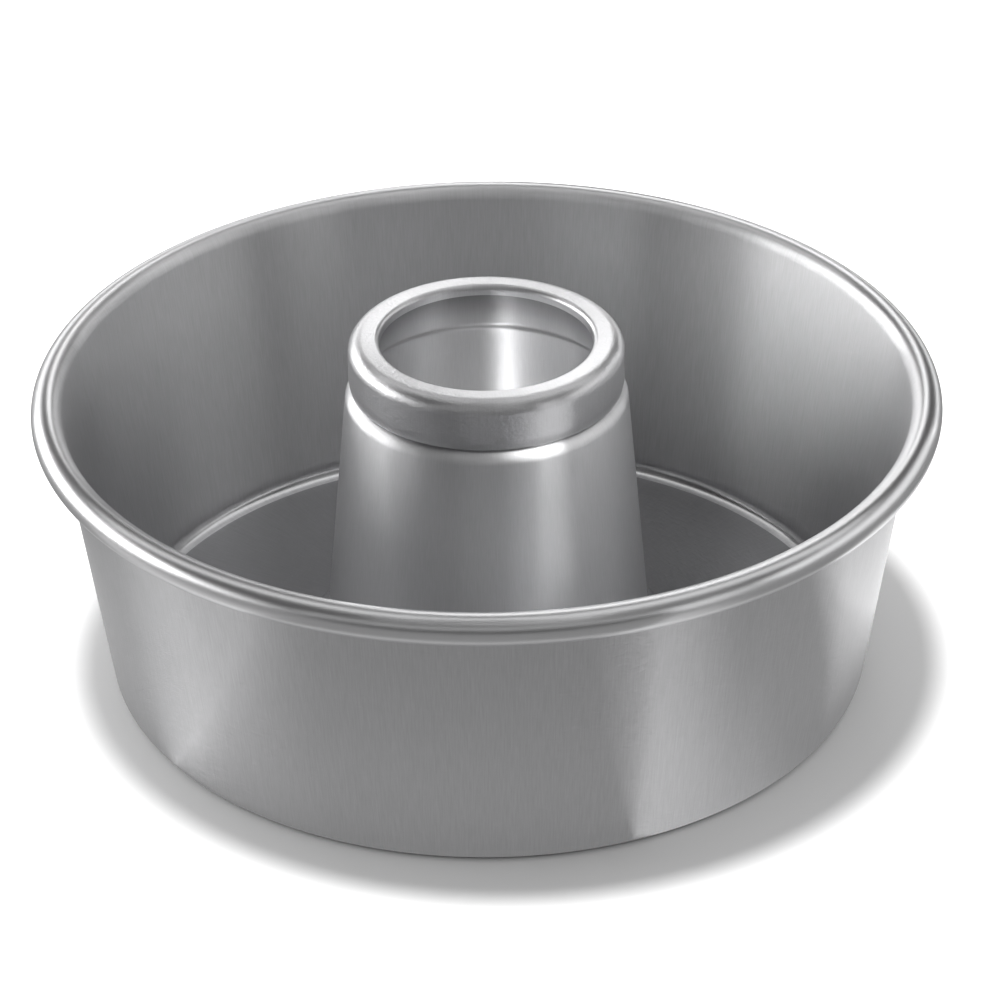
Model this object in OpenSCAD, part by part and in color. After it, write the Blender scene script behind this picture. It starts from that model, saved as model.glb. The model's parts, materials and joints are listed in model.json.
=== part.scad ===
// Tube cake pan of aluminium sheet: a round, tapered pan with a wired rim, an open tube that
// stands up through its floor, and a collar pressed on the tube's top. Millimetres, +Z up, with
// the origin on the pan's axis at the level of the table that it stands on.

/* [Pan] */
// Inside diameter of the pan at the rim
inside_d = 254; // [230:1:300]
// Height of the pan from the table to the top of the rim
pan_h = 94.6; // [70:0.1:100]
// Lean of the pan's wall from upright, in degrees
wall_lean = 8.1; // [3:0.1:12]
// Thickness of the sheet that the pan and the tube are made of
sheet_t = 1.6; // [1.2:0.1:2]
// Inside radius of the corner between the wall and the floor
corner_r = 4; // [2:0.5:10]

/* [Rim] */
// Diameter of the steel wire inside the rolled rim
wire_d = 6; // [4:0.1:7]
// Clearance between the wire and the sheet that is rolled round it
wire_gap = 0.05; // [0.02:0.01:0.2]
// Gap left where the two ends of the wire meet
wire_split = 1.5; // [0.5:0.5:4]
// Direction from the wire to the sheet's rolled edge, in degrees from outward
curl_end = -114; // [-118:1:-90]

/* [Centre tube] */
// Outside diameter of the tube's cone, measured at the table
tube_d = 101.4; // [100:0.1:102]
// Lean of the tube's wall from upright, in degrees
tube_lean = 5.16; // [5:0.01:5.3]
// Height at which the tube's shoulder starts to turn in
shoulder_h = 88.8; // [88:0.1:89]
// Outside radius of the tube's shoulder
shoulder_r = 4.5; // [4.2:0.1:4.8]
// Outside diameter of the neck above the shoulder
neck_d = 79; // [78.6:0.1:79]

/* [Collar] */
// Height of the collar's flat top above the table
collar_h = 109.4; // [109:0.1:112]
// Outside diameter of the collar at its widest
collar_d = 82.8; // [82.8:0.1:84]
// Diameter of the opening in the collar
opening_d = 64; // [62:0.1:65]
// Thickness of the collar's sheet
collar_t = 1.2; // [1:0.1:1.2]
// Outside radius of the bend between the collar's top and its skirt
collar_bend_r = 4.5; // [4.3:0.1:5]

/* [Seam at the tube's foot] */
// Height of the floor's underside where it is raised to cover the tube's flange
seam_h = 2; // [1.9:0.1:3]
// Diameter of the tube's flange
flange_d = 112; // [110:0.5:112.5]
// Diameter of the hole in the floor
hole_d = 102.2; // [102.2:0.1:103]
// Height that the locking bead stands out from the tube's wall
lock_bead = 1; // [0.6:0.1:1.2]

/* [Hidden] */
$fn = 180;
arc_step = 7.5;                                  // degrees between the points of an arc

// Pan: the corner's centre follows from the bead's, so that the wall is tangent to both
wire_room_r = wire_d / 2 + wire_gap;
bead_r = wire_room_r + sheet_t;
bead_c = [inside_d / 2 + bead_r, pan_h - bead_r];
corner_z = corner_r + sheet_t;
corner_fall = (bead_c.y - corner_z) * sin(wall_lean);
corner_c = [bead_c.x - (bead_r + corner_r + corner_fall) / cos(wall_lean), corner_z];

// The raised middle of the floor, which one 45 degree step joins to the flat part
step_angle = 45;
step_r = flange_d / 2 + 0.5;
step_mitre = tan(step_angle / 2);

// Tube: shoulder arc tangent to the cone, then a fillet tangent to the shoulder and the neck
neck_fillet = 0.8;
shoulder_fall = shoulder_h * sin(tube_lean);
shoulder_c = [tube_d / 2 - (shoulder_r + shoulder_fall) / cos(tube_lean), shoulder_h];
fillet_x = neck_d / 2 + neck_fillet;
fillet_reach = fillet_x - shoulder_c.x;
fillet_rise = sqrt(pow(shoulder_r + neck_fillet, 2) - pow(fillet_reach, 2));
fillet_c = [fillet_x, shoulder_h + fillet_rise];
fillet_angle = atan2(fillet_rise, fillet_reach);

// Flange at the top of the neck, on which the collar sits
top_bend_r = 3;
top_bend_c = [neck_d / 2 - top_bend_r, collar_h - collar_t - top_bend_r];
lip_bend_r = collar_t + 0.4;
lip_bend_c = [opening_d / 2 + lip_bend_r, collar_h - lip_bend_r];
lip_h = 3.2;

// Foot of the tube: a flange under the floor and a bead on top of it
foot_fillet = 0.5;
foot_x = tube_d / 2 - (seam_h + foot_fillet) * tan(tube_lean) + foot_fillet / cos(tube_lean);
foot_c = [foot_x, seam_h + foot_fillet];
lock_r = 2.5;
lock_half = sqrt(pow(lock_r, 2) - pow(lock_r - lock_bead, 2));
lock_z = seam_h + sheet_t + lock_half;
lock_depth = (lock_r - lock_bead) / cos(tube_lean);
lock_c = [tube_d / 2 - lock_z * tan(tube_lean) - lock_depth, lock_z];

// Collar skirt: upright below the bend, then drawn in a little to grip the neck
skirt_edge_r = collar_t / 2;
skirt_end = [neck_d / 2 + 0.15 + skirt_edge_r, 94];
grip = collar_d / 2 - collar_t / 2 - skirt_end.x;
grip_h = 3.6;
grip_r = (pow(grip, 2) + pow(grip_h, 2)) / (2 * grip);
grip_angle = asin(grip_h / grip_r);
grip_c = [collar_d / 2 - collar_t / 2 - grip_r, skirt_end.y + grip_h];
collar_bend_c = [collar_d / 2 - collar_bend_r, collar_h - collar_bend_r];

// Points of an arc about centre c, turning from one angle to another
function arc(c, r, from, to) =
    let (n = ceil(abs(to - from) / arc_step))
    [for (i = [0 : n]) let (a = from + (to - from) * i / n) c + r * [cos(a), sin(a)]];

// Outline between two faces of a sheet, each listed in the same direction
function sheet(face, other) =
    concat(face, [for (i = [len(other) - 1 : -1 : 0]) other[i]]);

// Face of the pan's sheet at a depth d from its underside, from the hole to the rolled edge
function pan_face(d) = concat(
    [[hole_d / 2, seam_h + d]],
    [[step_r + step_mitre * d, seam_h + d]],
    [[step_r + seam_h + step_mitre * d, d]],
    arc(corner_c, corner_z - d, -90, -wall_lean),
    arc(bead_c, wire_room_r + d, 180 - wall_lean, curl_end));

// Face of the tube's sheet at a depth d from its outside, from the foot's flange to the top one
function tube_face(d) = concat(
    [[flange_d / 2, seam_h - d]],
    arc(foot_c, foot_fillet + d, -90, -180 + tube_lean),
    lock_face(d),
    arc(shoulder_c, shoulder_r - d, tube_lean, fillet_angle),
    arc(fillet_c, neck_fillet + d, fillet_angle + 180, 180),
    arc(top_bend_c, top_bend_r - d, 0, 90),
    [[opening_d / 2 + collar_t + 0.5, collar_h - collar_t - d]]);

// The locking bead on either face: the same swelling, seen from outside and from inside
function lock_face(d) =
    let (a = acos((lock_r - lock_bead - d) / (lock_r - d)))
    arc(lock_c, lock_r - d, -a + tube_lean, a + tube_lean);

// Face of the collar's sheet at a depth d from its outside, from the lip to the skirt's edge
function collar_face(d) = concat(
    [[opening_d / 2 + d, collar_h - lip_h]],
    arc(lip_bend_c, lip_bend_r - d, 180, 90),
    arc(collar_bend_c, collar_bend_r - d, 90, 0),
    arc(grip_c, grip_r + collar_t / 2 - d, 0, -grip_angle));

// Solid of revolution from a closed outline
module turned(outline) {
    rotate_extrude() polygon(outline);
}

// Pan: floor, wall and the rim that is rolled round the wire, all one sheet
module pan_body() {
    color([0.67, 0.67, 0.68]) turned(sheet(pan_face(0), pan_face(sheet_t)));
}

// Wire ring that stiffens the rim, open by a small gap where its ends meet
module rim_wire() {
    split_angle = 360 * wire_split / (2 * PI * bead_c.x);
    color([0.50, 0.50, 0.52])
        rotate_extrude(angle = 360 - split_angle) translate(bead_c) circle(d = wire_d);
}

// Tube: flange under the floor, locking bead, cone, shoulder, neck and top flange
module centre_tube() {
    color([0.63, 0.63, 0.64]) turned(sheet(tube_face(0), tube_face(sheet_t)));
}

// Collar: turned-down lip, flat top, rounded bend and a skirt that grips the neck
module tube_collar() {
    color([0.78, 0.78, 0.79]) turned(sheet(collar_face(0), collar_face(collar_t)));
}

pan_body();
rim_wire();
centre_tube();
tube_collar();
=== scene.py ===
"""Looks of the tube cake pan: satin spun aluminium on a pale floor under soft studio light.

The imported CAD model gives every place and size. The three sheet pieces are turned again here
with finer arcs, and the wire inside the rim keeps its CAD mesh and gets a better material.
Everything is in metres, with +Z up and the origin on the pan's axis at the table.
"""

import json
from math import acos, asin, atan2, ceil, cos, degrees, hypot, pi, radians, sin, sqrt, tan

import bmesh
import bpy
from mathutils import Matrix, Vector


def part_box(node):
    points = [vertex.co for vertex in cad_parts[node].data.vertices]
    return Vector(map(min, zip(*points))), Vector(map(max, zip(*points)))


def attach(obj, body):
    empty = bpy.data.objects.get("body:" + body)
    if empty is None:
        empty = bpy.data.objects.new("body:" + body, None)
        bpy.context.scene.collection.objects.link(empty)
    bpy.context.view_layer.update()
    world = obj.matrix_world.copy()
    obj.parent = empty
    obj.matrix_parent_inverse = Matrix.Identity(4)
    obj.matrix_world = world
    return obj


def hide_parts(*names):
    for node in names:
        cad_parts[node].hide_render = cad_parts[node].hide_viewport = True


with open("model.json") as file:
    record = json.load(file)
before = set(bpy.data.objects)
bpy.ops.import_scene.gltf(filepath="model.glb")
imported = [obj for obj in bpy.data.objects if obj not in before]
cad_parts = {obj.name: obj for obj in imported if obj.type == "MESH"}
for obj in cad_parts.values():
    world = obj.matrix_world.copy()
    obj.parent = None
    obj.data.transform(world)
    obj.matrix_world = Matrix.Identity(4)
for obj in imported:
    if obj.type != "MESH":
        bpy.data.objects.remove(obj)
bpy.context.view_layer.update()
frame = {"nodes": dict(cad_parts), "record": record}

MM = 0.001

# ---------------------------------------------------------------- sizes from the frame

_, PAN_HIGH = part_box("pan_body")
WIRE_LOW, WIRE_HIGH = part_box("rim_wire")
_, TUBE_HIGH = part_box("centre_tube")
_, COLLAR_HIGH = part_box("tube_collar")
MOUNTS = {mount["name"]: mount for mount in frame["record"]["mounts"]}

# ---------------------------------------------------------------- sizes of the sheet pieces

SHEET = 1.6 * MM                    # thickness of the pan and the tube
COLLAR_SHEET = 1.2 * MM             # thickness of the collar
ARC_STEP = 4.0                      # degrees between the points of a wide arc
ARC_CHORD = 0.25 * MM               # distance between the points of a narrow arc
WIDEST_STEP = 12.0                  # most degrees between the points of any arc
STRAIGHT_STEP = 6.0 * MM            # longest straight stretch between two points
SEGMENTS = 420                      # steps round the axis
SHARP_ANGLE = 30.0                  # an edge that turns by more degrees is shaded as sharp

# Pan
WALL_LEAN = 8.1                     # degrees from upright
CORNER_R = 4.0 * MM                 # inside radius between the wall and the floor
CURL_END = -114.0                   # direction from the wire to the sheet's rolled edge
WIRE_GAP = 0.05 * MM                # clearance between the wire and the sheet
BEAD_R = (WIRE_HIGH.z - WIRE_LOW.z) / 2 + WIRE_GAP + SHEET
BEAD = (PAN_HIGH.x - BEAD_R, PAN_HIGH.z - BEAD_R)
SEAM_H = 2.0 * MM                   # height of the floor's underside over the tube's flange
HOLE_R = 51.1 * MM                  # the hole in the floor
STEP_R = TUBE_HIGH.x + 0.5 * MM     # where the raised middle of the floor steps down
STEP_ANGLE = 45.0                   # degrees down from level
STEP_MITRE = tan(radians(STEP_ANGLE / 2))
CORNER_Z = CORNER_R + SHEET         # the corner's centre, so that the wall is tangent to both
CORNER_FALL = (BEAD[1] - CORNER_Z) * sin(radians(WALL_LEAN))
CORNER_X = BEAD[0] - (BEAD_R + CORNER_R + CORNER_FALL) / cos(radians(WALL_LEAN))
FLOOR_R = CORNER_X + SHEET / 8      # the floor has its own finish and darker painted shade out to this radius

# Tube
TUBE_R = 50.7 * MM                  # cone, at the table
TUBE_LEAN = 5.16                    # degrees from upright
SHOULDER_H = 88.8 * MM              # where the shoulder starts to turn in
SHOULDER_R = 4.5 * MM
NECK_R = 39.5 * MM
NECK_FILLET = 0.8 * MM              # between the shoulder and the neck
TOP_BEND_R = 3.0 * MM
LIP_GAP = 0.5 * MM                  # between the tube's top flange and the collar's lip
FOOT_FILLET = 0.5 * MM
LOCK_BEAD = 1.0 * MM                # how far the locking bead stands out
LOCK_R = 2.5 * MM

# Collar
COLLAR_R = COLLAR_HIGH.x
COLLAR_H = COLLAR_HIGH.z
OPENING_R = MOUNTS["tube_opening"]["dims"]["r_mm"] * MM
COLLAR_BEND_R = 4.5 * MM
LIP_H = 3.2 * MM                    # how far down the lip in the opening reaches
LIP_BEND_R = COLLAR_SHEET + 0.4 * MM
GRIP_H = 3.6 * MM                   # how far up the drawn-in part of the skirt reaches
GRIP_GAP = 0.15 * MM                # between the skirt and the neck
SKIRT_H = 94.0 * MM                 # height of the skirt's edge, at the middle of the sheet


# ---------------------------------------------------------------- outlines, as in the CAD

def arc(centre, radius, start, stop):
    """Points of an arc about a centre, turning from one angle to another, in degrees."""
    turn = abs(stop - start)
    fine = min(turn / ARC_STEP, radians(turn) * radius / ARC_CHORD)
    count = ceil(max(turn / WIDEST_STEP, fine))
    angles = [radians(start + (stop - start) * i / count) for i in range(count + 1)]
    return [(centre[0] + radius * cos(a), centre[1] + radius * sin(a)) for a in angles]


def pan_face(depth):
    """Face of the pan's sheet at a depth from its underside, from the hole to the rolled edge."""
    points = [(HOLE_R, SEAM_H + depth)]
    points.append((STEP_R + STEP_MITRE * depth, SEAM_H + depth))
    points.append((STEP_R + SEAM_H + STEP_MITRE * depth, depth))
    points += arc((CORNER_X, CORNER_Z), CORNER_Z - depth, -90, -WALL_LEAN)
    points += arc(BEAD, BEAD_R - SHEET + depth, 180 - WALL_LEAN, CURL_END)
    return points


def lock_face(depth):
    """The locking bead at the tube's foot, on either face of its sheet."""
    half = sqrt(LOCK_R ** 2 - (LOCK_R - LOCK_BEAD) ** 2)
    height = SEAM_H + SHEET + half
    lean = radians(TUBE_LEAN)
    x = TUBE_R - height * tan(lean) - (LOCK_R - LOCK_BEAD) / cos(lean)
    turn = degrees(acos((LOCK_R - LOCK_BEAD - depth) / (LOCK_R - depth)))
    return arc((x, height), LOCK_R - depth, TUBE_LEAN - turn, TUBE_LEAN + turn)


def tube_face(depth):
    """Face of the tube's sheet at a depth from its outside, from its flange to its top."""
    lean = radians(TUBE_LEAN)
    foot_z = SEAM_H + FOOT_FILLET
    foot_x = TUBE_R - foot_z * tan(lean) + FOOT_FILLET / cos(lean)
    shoulder_x = TUBE_R - (SHOULDER_R + SHOULDER_H * sin(lean)) / cos(lean)
    fillet_x = NECK_R + NECK_FILLET
    reach = fillet_x - shoulder_x
    rise = sqrt((SHOULDER_R + NECK_FILLET) ** 2 - reach ** 2)
    turn = degrees(atan2(rise, reach))
    top = COLLAR_H - COLLAR_SHEET
    points = [(TUBE_HIGH.x, SEAM_H - depth)]
    points += arc((foot_x, foot_z), FOOT_FILLET + depth, -90, TUBE_LEAN - 180)
    points += lock_face(depth)
    points += arc((shoulder_x, SHOULDER_H), SHOULDER_R - depth, TUBE_LEAN, turn)
    points += arc((fillet_x, SHOULDER_H + rise), NECK_FILLET + depth, turn + 180, 180)
    points += arc((NECK_R - TOP_BEND_R, top - TOP_BEND_R), TOP_BEND_R - depth, 0, 90)
    points.append((OPENING_R + COLLAR_SHEET + LIP_GAP, top - depth))
    return points


def collar_face(depth):
    """Face of the collar's sheet at a depth from its outside, from its lip to its skirt."""
    middle = COLLAR_SHEET / 2
    skirt_x = NECK_R + GRIP_GAP + middle
    grip = COLLAR_R - middle - skirt_x
    grip_r = (grip ** 2 + GRIP_H ** 2) / (2 * grip)
    grip_turn = degrees(asin(GRIP_H / grip_r))
    grip_centre = (COLLAR_R - middle - grip_r, SKIRT_H + GRIP_H)
    bend_centre = (COLLAR_R - COLLAR_BEND_R, COLLAR_H - COLLAR_BEND_R)
    lip_centre = (OPENING_R + LIP_BEND_R, COLLAR_H - LIP_BEND_R)
    points = [(OPENING_R + depth, COLLAR_H - LIP_H)]
    points += arc(lip_centre, LIP_BEND_R - depth, 180, 90)
    points += arc(bend_centre, COLLAR_BEND_R - depth, 90, 0)
    points += arc(grip_centre, grip_r + middle - depth, 0, -grip_turn)
    return points


# ---------------------------------------------------------------- meshes

def with_short_steps(line):
    """The line with extra points, so that no straight stretch is long."""
    points = [line[0]]
    for (x, z), (next_x, next_z) in zip(line, line[1:]):
        count = max(1, ceil(hypot(next_x - x, next_z - z) / STRAIGHT_STEP))
        for k in range(1, count + 1):
            points.append((x + (next_x - x) * k / count, z + (next_z - z) * k / count))
    return points


def turned(name, near_face, far_face, near_material, far_material, floor_material=None):
    """A closed solid of revolution from the two faces of a sheet, with a finish for each.

    The far face may have a third material on the floor of the pan, with its own finish and
    painted shade.
    """
    near = with_short_steps(near_face)
    points = near + with_short_steps(far_face[::-1])
    mesh = bpy.data.meshes.new(name)
    bm = bmesh.new()
    rings = []
    for i in range(SEGMENTS):
        a = 2 * pi * i / SEGMENTS
        rings.append([bm.verts.new((x * cos(a), x * sin(a), z)) for x, z in points])
    for i, ring in enumerate(rings):
        following = rings[(i + 1) % SEGMENTS]
        for k in range(len(points)):
            n = (k + 1) % len(points)
            face = bm.faces.new((ring[k], following[k], following[n], ring[n]))
            face.material_index = 0 if k < len(near) - 1 else 1
            if floor_material and k >= len(near) and points[k][0] <= FLOOR_R:
                face.material_index = 2
    bmesh.ops.recalc_face_normals(bm, faces=bm.faces)
    bm.to_mesh(mesh)
    bm.free()
    mesh.polygons.foreach_set("use_smooth", [True] * len(mesh.polygons))
    mesh.set_sharp_from_angle(angle=radians(SHARP_ANGLE))
    mesh.materials.append(near_material)
    mesh.materials.append(far_material)
    if floor_material:
        mesh.materials.append(floor_material)
    piece = bpy.data.objects.new(name, mesh)
    bpy.context.scene.collection.objects.link(piece)
    return piece


# ---------------------------------------------------------------- shader nodes

def plug(tree, value, socket):
    """Sets an input to a value, or joins it to another node's output."""
    if isinstance(value, bpy.types.NodeSocket):
        tree.links.new(value, socket)
    else:
        socket.default_value = value


def new_node(tree, kind, operation, values):
    """A node that works out an operation on values or on other nodes' outputs."""
    node = tree.nodes.new(kind)
    node.operation = operation
    for value, socket in zip(values, node.inputs):
        plug(tree, value, socket)
    return node


def math_node(tree, operation, *values):
    """The result of an operation on numbers."""
    return new_node(tree, "ShaderNodeMath", operation, values).outputs[0]


def vector_node(tree, operation, *values):
    """The result of an operation on vectors."""
    return new_node(tree, "ShaderNodeVectorMath", operation, values).outputs[0]


def scaled(tree, vector, factor):
    """A vector made longer or shorter by a number."""
    node = new_node(tree, "ShaderNodeVectorMath", "SCALE", (vector,))
    plug(tree, factor, node.inputs["Scale"])
    return node.outputs[0]


def blend(tree, measure, between, values):
    """A number that turns smoothly from one value to another as a measure grows."""
    node = tree.nodes.new("ShaderNodeMapRange")
    node.interpolation_type = "SMOOTHSTEP"
    names = ("Value", "From Min", "From Max", "To Min", "To Max")
    for name, value in zip(names, (measure, *between, *values)):
        plug(tree, value, node.inputs[name])
    return node.outputs[0]


def seen_and_unseen(tree, seen, unseen):
    """A grey that is one value in direct view and another in reflections.

    A Mix node for colours has them at its inputs 6 and 7, and the result at its output 2.
    """
    path = tree.nodes.new("ShaderNodeLightPath")
    node = tree.nodes.new("ShaderNodeMix")
    node.data_type = "RGBA"
    plug(tree, path.outputs["Is Camera Ray"], node.inputs["Factor"])
    node.inputs[6].default_value = (unseen, unseen, unseen, 1)
    node.inputs[7].default_value = (seen, seen, seen, 1)
    return node.outputs[2]


def turned_coordinates(tree):
    """Outputs that give the place, then (x / r, y / r, z - r), then z, then r.

    The number z - r is constant along each ring of a turned sheet.
    """
    place = tree.nodes.new("ShaderNodeTexCoord").outputs["Object"]
    split = tree.nodes.new("ShaderNodeSeparateXYZ")
    plug(tree, place, split.inputs[0])
    x, y, z = split.outputs
    x_squared = math_node(tree, "MULTIPLY", x, x)
    y_squared = math_node(tree, "MULTIPLY", y, y)
    radius = math_node(tree, "SQRT", math_node(tree, "ADD", x_squared, y_squared))
    joined = tree.nodes.new("ShaderNodeCombineXYZ")
    plug(tree, math_node(tree, "DIVIDE", x, radius), joined.inputs[0])
    plug(tree, math_node(tree, "DIVIDE", y, radius), joined.inputs[1])
    plug(tree, math_node(tree, "SUBTRACT", z, radius), joined.inputs[2])
    return place, joined.outputs[0], z, radius


# ---------------------------------------------------------------- materials

# How fine each noise is round the axis and across the rings
RINGS = (30, 1000)                  # waves round the axis, which the spinning tool leaves
GRAIN = (330, 160)                  # short upright streaks of the rolled sheet
CLOUDS = (3, 25)                    # broad changes of polish
WIRE_LINES = (8, 3000)              # lines along the drawn wire
NOISE_DETAIL = 2.0

RING_DEPTH = 0.10 * MM
GRAIN_DEPTH = 0.004 * MM
GRAIN_TONE = 0.25                   # how much lighter and darker the grain is
GRAIN_ROUGHNESS = 0.04
CLOUD_ROUGHNESS = 0.05
LOBE_ROUGHNESS = 0.38               # of the rougher metal that is mixed in
LOBE_SHARE = 0.3
SPECK_SHIFTS = (0.0, 7.0)           # set the two noises that tip the normal apart
UPRIGHT = 0.25                      # quarter turn, which sets the wide way of a finish upright

# Where the finish of the corner and the rim takes over, and where the neck's painted shade sets
# in
CORNER_HEIGHTS = (CORNER_Z - CORNER_R / 2, CORNER_Z + CORNER_R)
RIM_RADII = (BEAD[0] - BEAD_R, BEAD[0] - BEAD_R / 4)
NECK_SHADE_HEIGHTS = (SHOULDER_H + SHOULDER_R / 2, COLLAR_H - COLLAR_SHEET - TOP_BEND_R)

RIM = {"rough": 0.22, "spread": 0.15, "tone": GRAIN_TONE / 6, "ring": 0}
CORNER = {"rough": 0.18, "spread": 0}
NECK_PAINTED_SHADE = 0.38                    # painted shade: how dark the neck's inside is painted at its top

WIRE_TONE = 0.15                    # how much lighter and darker the wire's lines are
WIRE_ROUGHNESS = 0.4
LINE_ROUGHNESS = 0.2


def streaks(tree, coordinates, scales):
    """Noise that is stretched round the axis or up the wall, from -0.5 to 0.5."""
    round_scale, ring_scale = scales
    stretch = (round_scale, round_scale, ring_scale)
    noise = tree.nodes.new("ShaderNodeTexNoise")
    plug(tree, vector_node(tree, "MULTIPLY", coordinates, stretch), noise.inputs["Vector"])
    noise.inputs["Scale"].default_value = 1.0
    noise.inputs["Detail"].default_value = NOISE_DETAIL
    return math_node(tree, "SUBTRACT", noise.outputs[0], 0.5)


def spread_upright(tree, place, normal, tangent, amount):
    """Tips the normal up and down by a noise, as grooves round the axis would.

    The noise is too fine to be seen, so light spreads up and down and stays sharp sideways.
    """
    specks = []
    for shift in SPECK_SHIFTS:
        speck = tree.nodes.new("ShaderNodeTexWhiteNoise")
        plug(tree, vector_node(tree, "ADD", place, (shift, 0, 0)), speck.inputs["Vector"])
        specks.append(math_node(tree, "SUBTRACT", speck.outputs[0], 0.5))
    tilt = math_node(tree, "MULTIPLY", math_node(tree, "ADD", *specks), amount)
    up = vector_node(tree, "CROSS_PRODUCT", normal, tangent)
    tipped = vector_node(tree, "ADD", normal, scaled(tree, up, tilt))
    return vector_node(tree, "NORMALIZE", tipped)


def add_lobe(tree, shader):
    """Mixes a share of a rougher metal with the same colour into the surface."""
    rough = tree.nodes.new("ShaderNodeBsdfPrincipled")
    rough.inputs["Metallic"].default_value = 1.0
    rough.inputs["Roughness"].default_value = LOBE_ROUGHNESS
    for name in ("Base Color", "Normal"):
        plug(tree, shader.inputs[name].links[0].from_socket, rough.inputs[name])
    mixed = tree.nodes.new("ShaderNodeMixShader")
    mixed.inputs["Fac"].default_value = LOBE_SHARE
    plug(tree, shader.outputs[0], mixed.inputs[1])
    plug(tree, rough.outputs[0], mixed.inputs[2])
    plug(tree, mixed.outputs[0], tree.nodes["Material Output"].inputs["Surface"])


def metal(name):
    """A new metallic material, with its node tree and its surface node."""
    material = bpy.data.materials.new(name)
    material.use_nodes = True
    shader = material.node_tree.nodes["Principled BSDF"]
    shader.inputs["Metallic"].default_value = 1.0
    return material, material.node_tree, shader


def aluminium(name, color, roughness, spread, rim=None, corner=None, neck=None, along=1.0,
              ring=RING_DEPTH):
    """Satin aluminium with fine rings of brushing and short upright streaks.

    The rolled bead and the pan's corner may have a finish of their own, and the tube's neck may
    have painted shade, darker toward its top. The reflection is sharper sideways than up and
    down, by the amounts that are called along and spread.
    """
    material, tree, shader = metal(name)
    shader.inputs["Anisotropic"].default_value = along
    shader.inputs["Anisotropic Rotation"].default_value = UPRIGHT
    tangent = tree.nodes.new("ShaderNodeTangent")
    tangent.direction_type = "RADIAL"
    tangent.axis = "Z"
    plug(tree, tangent.outputs[0], shader.inputs["Tangent"])

    place, coordinates, height, radius = turned_coordinates(tree)
    rings = streaks(tree, coordinates, RINGS)
    grain = streaks(tree, coordinates, GRAIN)
    clouds = streaks(tree, coordinates, CLOUDS)

    levels = {"rough": roughness, "spread": spread, "tone": GRAIN_TONE, "ring": ring}
    for key, value in (corner or {}).items():
        levels[key] = blend(tree, height, CORNER_HEIGHTS, (value, levels[key]))
    for key, value in (rim or {}).items():
        levels[key] = blend(tree, radius, RIM_RADII, (levels[key], value))

    tone = math_node(tree, "MULTIPLY_ADD", grain, levels["tone"], 1.0)
    # Painted shade: the neck's inside is painted darker toward its top, under the collar's lip.
    if neck:
        neck_painted_shade = blend(tree, height, NECK_SHADE_HEIGHTS, (1.0, neck))
        tone = math_node(tree, "MULTIPLY", tone, neck_painted_shade)
    plug(tree, scaled(tree, color, tone), shader.inputs["Base Color"])

    worn = math_node(tree, "MULTIPLY_ADD", clouds, CLOUD_ROUGHNESS, levels["rough"])
    rough = math_node(tree, "MULTIPLY_ADD", grain, GRAIN_ROUGHNESS, worn)
    plug(tree, rough, shader.inputs["Roughness"])

    waves = math_node(tree, "MULTIPLY", rings, levels["ring"])
    relief = math_node(tree, "MULTIPLY_ADD", grain, GRAIN_DEPTH, waves)
    bump = tree.nodes.new("ShaderNodeBump")
    bump.inputs["Strength"].default_value = 1.0
    bump.inputs["Distance"].default_value = 1.0
    plug(tree, relief, bump.inputs["Height"])
    tipped = spread_upright(tree, place, bump.outputs[0], tangent.outputs[0], levels["spread"])
    plug(tree, tipped, shader.inputs["Normal"])
    add_lobe(tree, shader)
    return material


def drawn_steel(name, color):
    """Plain drawn wire, with faint lines along it."""
    material, tree, shader = metal(name)
    _, coordinates, _, _ = turned_coordinates(tree)
    lines = streaks(tree, coordinates, WIRE_LINES)
    tone = math_node(tree, "MULTIPLY_ADD", lines, WIRE_TONE, 1.0)
    plug(tree, scaled(tree, color, tone), shader.inputs["Base Color"])
    rough = math_node(tree, "MULTIPLY_ADD", lines, LINE_ROUGHNESS, WIRE_ROUGHNESS)
    plug(tree, rough, shader.inputs["Roughness"])
    return material


# ---------------------------------------------------------------- the pieces

def make_piece(name, node, face, thickness, materials):
    """Turns one sheet piece, which rides on the part and stands for its CAD node."""
    piece = turned(name, face(0), face(thickness), *materials)
    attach(piece, "root")
    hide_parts(node)


def make_pan():
    """The pan, with a finish for its outside, its inside and its floor; the floor's colour is a
    darker copy of the inside's, as painted shade.
    """
    outside = aluminium("pan_outside", (0.70, 0.70, 0.71), 0.16, 0.8, RIM)
    inside = aluminium("pan_inside", (0.82, 0.82, 0.83), 0.245, 0.85, RIM, CORNER, along=0.8,
                       ring=RING_DEPTH / 2)
    # Painted shade: the floor is the inside's metal painted about half as bright, as shade in the
    # bottom of the pan.
    floor = aluminium("pan_floor", (0.40, 0.40, 0.41), 0.22, 0.3)
    finish = (outside, inside, floor)
    make_piece("pan_sheet_body", "pan_body", pan_face, SHEET, finish)


def make_tube():
    """The tube, with a finish for its outside and its inside."""
    outside = aluminium("tube_outside", (0.82, 0.82, 0.83), 0.245, 0.65, along=0.8,
                        ring=RING_DEPTH / 4)
    # The tube's inside has painted shade in its neck, under the collar's lip.
    inside = aluminium("tube_inside", (0.70, 0.70, 0.71), 0.245, 0.3, neck=NECK_PAINTED_SHADE, along=0.8,
                       ring=RING_DEPTH / 4)
    finish = (outside, inside)
    make_piece("tube_sheet_body", "centre_tube", tube_face, SHEET, finish)


def make_collar():
    """The collar, with a finish for its outside and its inside; the inside's colour is darker, as
    painted shade between the collar and the neck.
    """
    outside = aluminium("collar_outside", (0.74, 0.74, 0.75), 0.22, 0.2)
    # Painted shade: the inside is painted darker than the outside, as shade between the collar
    # and the neck.
    inside = aluminium("collar_inside", (0.50, 0.50, 0.51), 0.24, 0.3)
    finish = (outside, inside)
    make_piece("collar_sheet_body", "tube_collar", collar_face, COLLAR_SHEET, finish)


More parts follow.
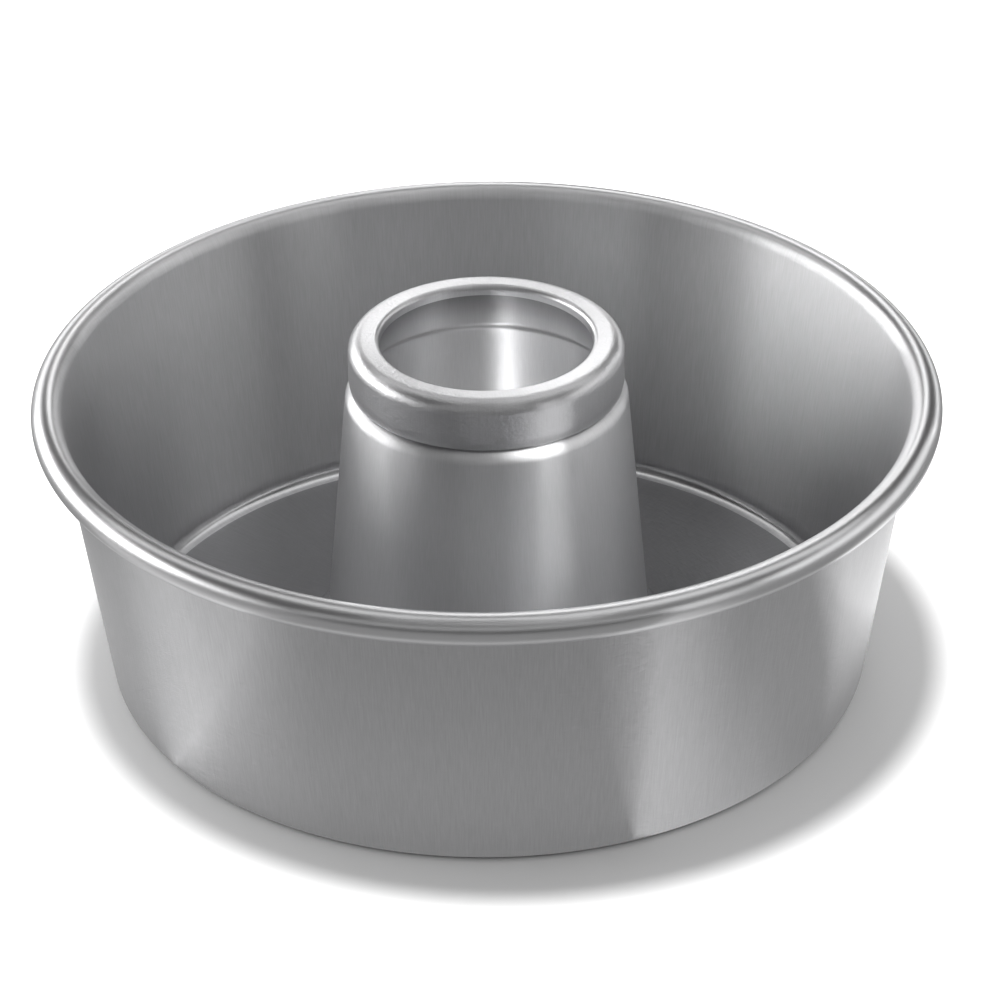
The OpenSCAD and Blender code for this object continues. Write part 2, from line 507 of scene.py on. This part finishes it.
def finish_wire():
    """The wire's CAD mesh is right already, so it only gets its material."""
    wire = frame["nodes"]["rim_wire"]
    wire.data.materials.clear()
    wire.data.materials.append(drawn_steel("wire_steel", (0.50, 0.50, 0.52)))


# ---------------------------------------------------------------- the studio

FLOOR_SIZE = 12.0
FLOOR_GAP = 0.2 * MM                # keeps the floor's surface clear of the pan's underside
FLOOR_WHITE = 0.80                  # in direct view
FLOOR_GREY = 0.12                   # as the metal reflects it
ROOM_WHITE = 1.0
ROOM_GREY = 0.02


def make_floor():
    """A pale floor, which is bright to look at and a soft grey in the metal."""
    mesh = bpy.data.meshes.new("floor")
    half = FLOOR_SIZE / 2
    corners = [(-half, -half, 0), (half, -half, 0), (half, half, 0), (-half, half, 0)]
    mesh.from_pydata(corners, [], [(0, 1, 2, 3)])
    floor = bpy.data.objects.new("floor", mesh)
    floor.location.z = -FLOOR_GAP
    bpy.context.scene.collection.objects.link(floor)
    material = bpy.data.materials.new("pale_floor")
    material.use_nodes = True
    tree = material.node_tree
    tree.nodes.remove(tree.nodes["Principled BSDF"])
    diffuse = tree.nodes.new("ShaderNodeBsdfDiffuse")
    plug(tree, seen_and_unseen(tree, FLOOR_WHITE, FLOOR_GREY), diffuse.inputs["Color"])
    plug(tree, diffuse.outputs[0], tree.nodes["Material Output"].inputs["Surface"])
    mesh.materials.append(material)


def make_world():
    """A soft grey room, which the camera sees as white."""
    world = bpy.data.worlds.new("studio")
    world.use_nodes = True
    bpy.context.scene.world = world
    tree = world.node_tree
    tone = seen_and_unseen(tree, ROOM_WHITE, ROOM_GREY)
    plug(tree, tone, tree.nodes["Background"].inputs["Color"])


LIGHT_DISTANCE = 2.5                # from the axis to a softbox
CARD_HEIGHT = 1.0 * MM              # of a board that lies beside the pan
ROUND_CARD_HEIGHT = 0.5 * MM
EDGE_CARD_START = 117 * MM          # from the axis to the corner of an edge card
WALL_CARD_FADE = (-0.1, 0.5)        # where a wall card fades out, in shares of its width
FLOOR_LIGHT_TILT = -4               # degrees from overhead


def add_light(name, width, height, radiance):
    """A flat rectangular light, which the camera doesn't see."""
    light = bpy.data.lights.new(name, "AREA")
    light.shape = "RECTANGLE"
    light.size = width
    light.size_y = height
    light.energy = radiance * pi * width * height
    lamp = bpy.data.objects.new(name, light)
    lamp.visible_camera = False
    bpy.context.scene.collection.objects.link(lamp)
    return lamp


def fade(lamp, direction, start, stop):
    """Dims a light smoothly to nothing between two places along a direction."""
    lamp.data.use_nodes = True
    tree = lamp.data.node_tree
    place = tree.nodes.new("ShaderNodeNewGeometry").outputs["Position"]
    along = new_node(tree, "ShaderNodeVectorMath", "DOT_PRODUCT", (place, direction))
    strength = blend(tree, along.outputs["Value"], (start, stop), (1.0, 0.0))
    plug(tree, strength, tree.nodes["Emission"].inputs["Strength"])


def softbox(name, azimuths, elevations, radiance, fading=0.0):
    """A softbox that faces the pan and covers a range of directions, in degrees.

    Azimuth 0 is behind the pan and 90 is on its right. The light may fade out toward its first
    azimuth, over a share of its width.
    """
    a = radians(sum(azimuths) / 2)
    e = radians(sum(elevations) / 2)
    across = 2 * LIGHT_DISTANCE * tan(radians(azimuths[1] - azimuths[0]) / 2) * cos(e)
    upward = 2 * LIGHT_DISTANCE * tan(radians(elevations[1] - elevations[0]) / 2)
    lamp = add_light(name, across, upward, radiance)
    away = Vector((sin(a) * cos(e), cos(a) * cos(e), sin(e)))
    lamp.location = away * LIGHT_DISTANCE
    lamp.rotation_mode = "QUATERNION"
    lamp.rotation_quaternion = (-away).to_track_quat("-Z", "Y")
    if fading:
        side = Vector((-cos(a), sin(a), 0))
        fade(lamp, side, across / 2 - fading * across, across / 2)


def wall_card(name, azimuths, distance, heights, radiance):
    """An upright board that faces the axis from inside the pan, like a bright stretch of wall."""
    a = radians(sum(azimuths) / 2)
    width = 2 * distance * tan(radians(azimuths[1] - azimuths[0]) / 2)
    lamp = add_light(name, width, heights[1] - heights[0], radiance)
    lamp.location = (distance * sin(a), distance * cos(a), sum(heights) / 2)
    lamp.rotation_euler = (pi / 2, 0, pi - a)
    start, stop = WALL_CARD_FADE
    fade(lamp, (cos(a), -sin(a), 0), start * width, stop * width)


def floor_card(name, azimuths, start, end, radiance):
    """A pale board that lies flat, from one distance from the axis to another."""
    a = radians(sum(azimuths) / 2)
    middle = (start + end) / 2
    width = 2 * middle * tan(radians(azimuths[1] - azimuths[0]) / 2)
    lamp = add_light(name, width, end - start, radiance)
    lamp.location = (middle * sin(a), middle * cos(a), CARD_HEIGHT)
    lamp.rotation_euler = (pi, 0, -a)


def round_card(name, radius, radiance):
    """A round pale board about the axis, close to the table."""
    lamp = add_light(name, 2 * radius, 2 * radius, radiance * pi / 4)
    lamp.data.shape = "DISK"
    lamp.location = (0, 0, ROUND_CARD_HEIGHT)
    lamp.rotation_euler = (pi, 0, 0)


def edge_card(name, foot, heading, length, width, radiance):
    """A pale board that lies by the pan and fades away from one long edge.

    The edge starts near the pan's foot. The foot and the edge's heading are azimuths.
    """
    f, h = radians(foot), radians(heading)
    lamp = add_light(name, width, length, radiance)
    start = Vector((sin(f), cos(f), 0)) * EDGE_CARD_START
    along = Vector((sin(h), cos(h), 0))
    beside = Vector((-cos(h), sin(h), 0))
    lamp.location = start + along * length / 2 + beside * width / 2
    lamp.location.z = CARD_HEIGHT
    lamp.rotation_euler = (pi, 0, -h)
    edge = start.dot(beside)
    fade(lamp, beside, edge, edge + width)


def light_only(name, receiver):
    """Keeps a light off everything but one object, as flags in a studio would."""
    lit = bpy.data.collections.new("lit_by_" + name)
    lit.objects.link(bpy.data.objects[receiver])
    bpy.data.objects[name].light_linking.receiver_collection = lit


def floor_light(name, strength, angle):
    """A high light for the floor alone, so that it is white and its shadow soft."""
    sun = bpy.data.lights.new(name, "SUN")
    sun.energy = strength
    sun.angle = radians(angle)
    lamp = bpy.data.objects.new(name, sun)
    lamp.rotation_euler = (0, radians(FLOOR_LIGHT_TILT), 0)
    bpy.context.scene.collection.objects.link(lamp)
    light_only(name, "floor")


def make_lights():
    """Softboxes round the pan and boards close to it, three of which light one piece only."""
    floor_light("floor_light", 4.4, 11)
    floor_light("floor_fill", 1.1, 120)
    softbox("key_left", (-108, -38), (1, 29), 2.4, 0.25)
    softbox("left_front", (-145, -90), (6, 24), 1.9, 0.8)
    softbox("left_back", (-90, 0), (6, 25), 1.6)
    softbox("top_back", (-75, -22), (41, 87), 0.8)
    softbox("back", (-3, 12), (25, 46), 1.9)
    softbox("back_low", (7, 48), (0, 12), 1.2)
    softbox("right", (42, 111), (7, 34), 1.0)
    softbox("front_right", (98, 139), (2, 32), 0.9, 0.9)
    softbox("front", (140, 225), (22, 43), 0.42)
    softbox("front_strip", (140, 220), (63, 69), 0.8)
    softbox("tube_band", (108, 145), (25, 75), 4.3)
    softbox("top_right", (95, 175), (45, 80), 0.18)
    softbox("top_left", (185, 265), (45, 80), 0.05)
    softbox("top_back_right", (30, 90), (41, 87), 0.8)
    softbox("collar_top", (-20, 20), (20, 45), 0.5)
    wall_card("collar_spot", (118, 164), 110 * MM, (20 * MM, 85 * MM), 0.58)
    edge_card("card_right", 159, 138, 250 * MM, 85 * MM, 0.36)
    edge_card("card_left", -125, -71, 250 * MM, 220 * MM, 0.36)
    floor_card("card_back_right", (40, 100), 125 * MM, 220 * MM, 0.8)
    round_card("card_foot", 170 * MM, 0.27)
    round_card("card_tube", 45 * MM, 0.3)
    floor_card("card_tube_spot", (-160, -136), 15 * MM, 45 * MM, 7.0)
    light_only("tube_band", "tube_sheet_body")
    light_only("collar_top", "collar_sheet_body")
    light_only("collar_spot", "collar_sheet_body")


# The camera stands in front of the pan and above it, with a long lens. Angles are in degrees,
# the lens and the sensor in millimetres, and the place is counted from the rim's centre.
CAMERA_DISTANCE = 1.26384
CAMERA_ELEVATION = 29.352
CAMERA_PITCH = 30.809               # below the horizon
CAMERA_YAW = 0.1953                 # to the right
CAMERA_ROLL = -0.46
CAMERA_LENS = 151.557
SENSOR = 36.0


def make_camera():
    """The camera, which becomes the scene's own."""
    camera = bpy.data.cameras.new("camera")
    camera.lens = CAMERA_LENS
    camera.sensor_width = SENSOR
    camera.dof.use_dof = False
    seat = bpy.data.objects.new("camera", camera)
    e = radians(CAMERA_ELEVATION)
    back = Vector((0, -cos(e), sin(e))) * CAMERA_DISTANCE
    place = Matrix.Translation(Vector((0, 0, BEAD[1])) + back)
    turn = Matrix.Rotation(radians(-CAMERA_YAW), 4, "Z")
    tip = Matrix.Rotation(radians(90 - CAMERA_PITCH), 4, "X")
    roll = Matrix.Rotation(radians(CAMERA_ROLL), 4, "Z")
    seat.matrix_world = place @ turn @ tip @ roll
    bpy.context.scene.collection.objects.link(seat)
    bpy.context.scene.camera = seat


make_camera()
make_pan()
make_tube()
make_collar()
finish_wire()
make_floor()
make_world()
make_lights()
bpy.context.scene.view_settings.view_transform = "Standard"
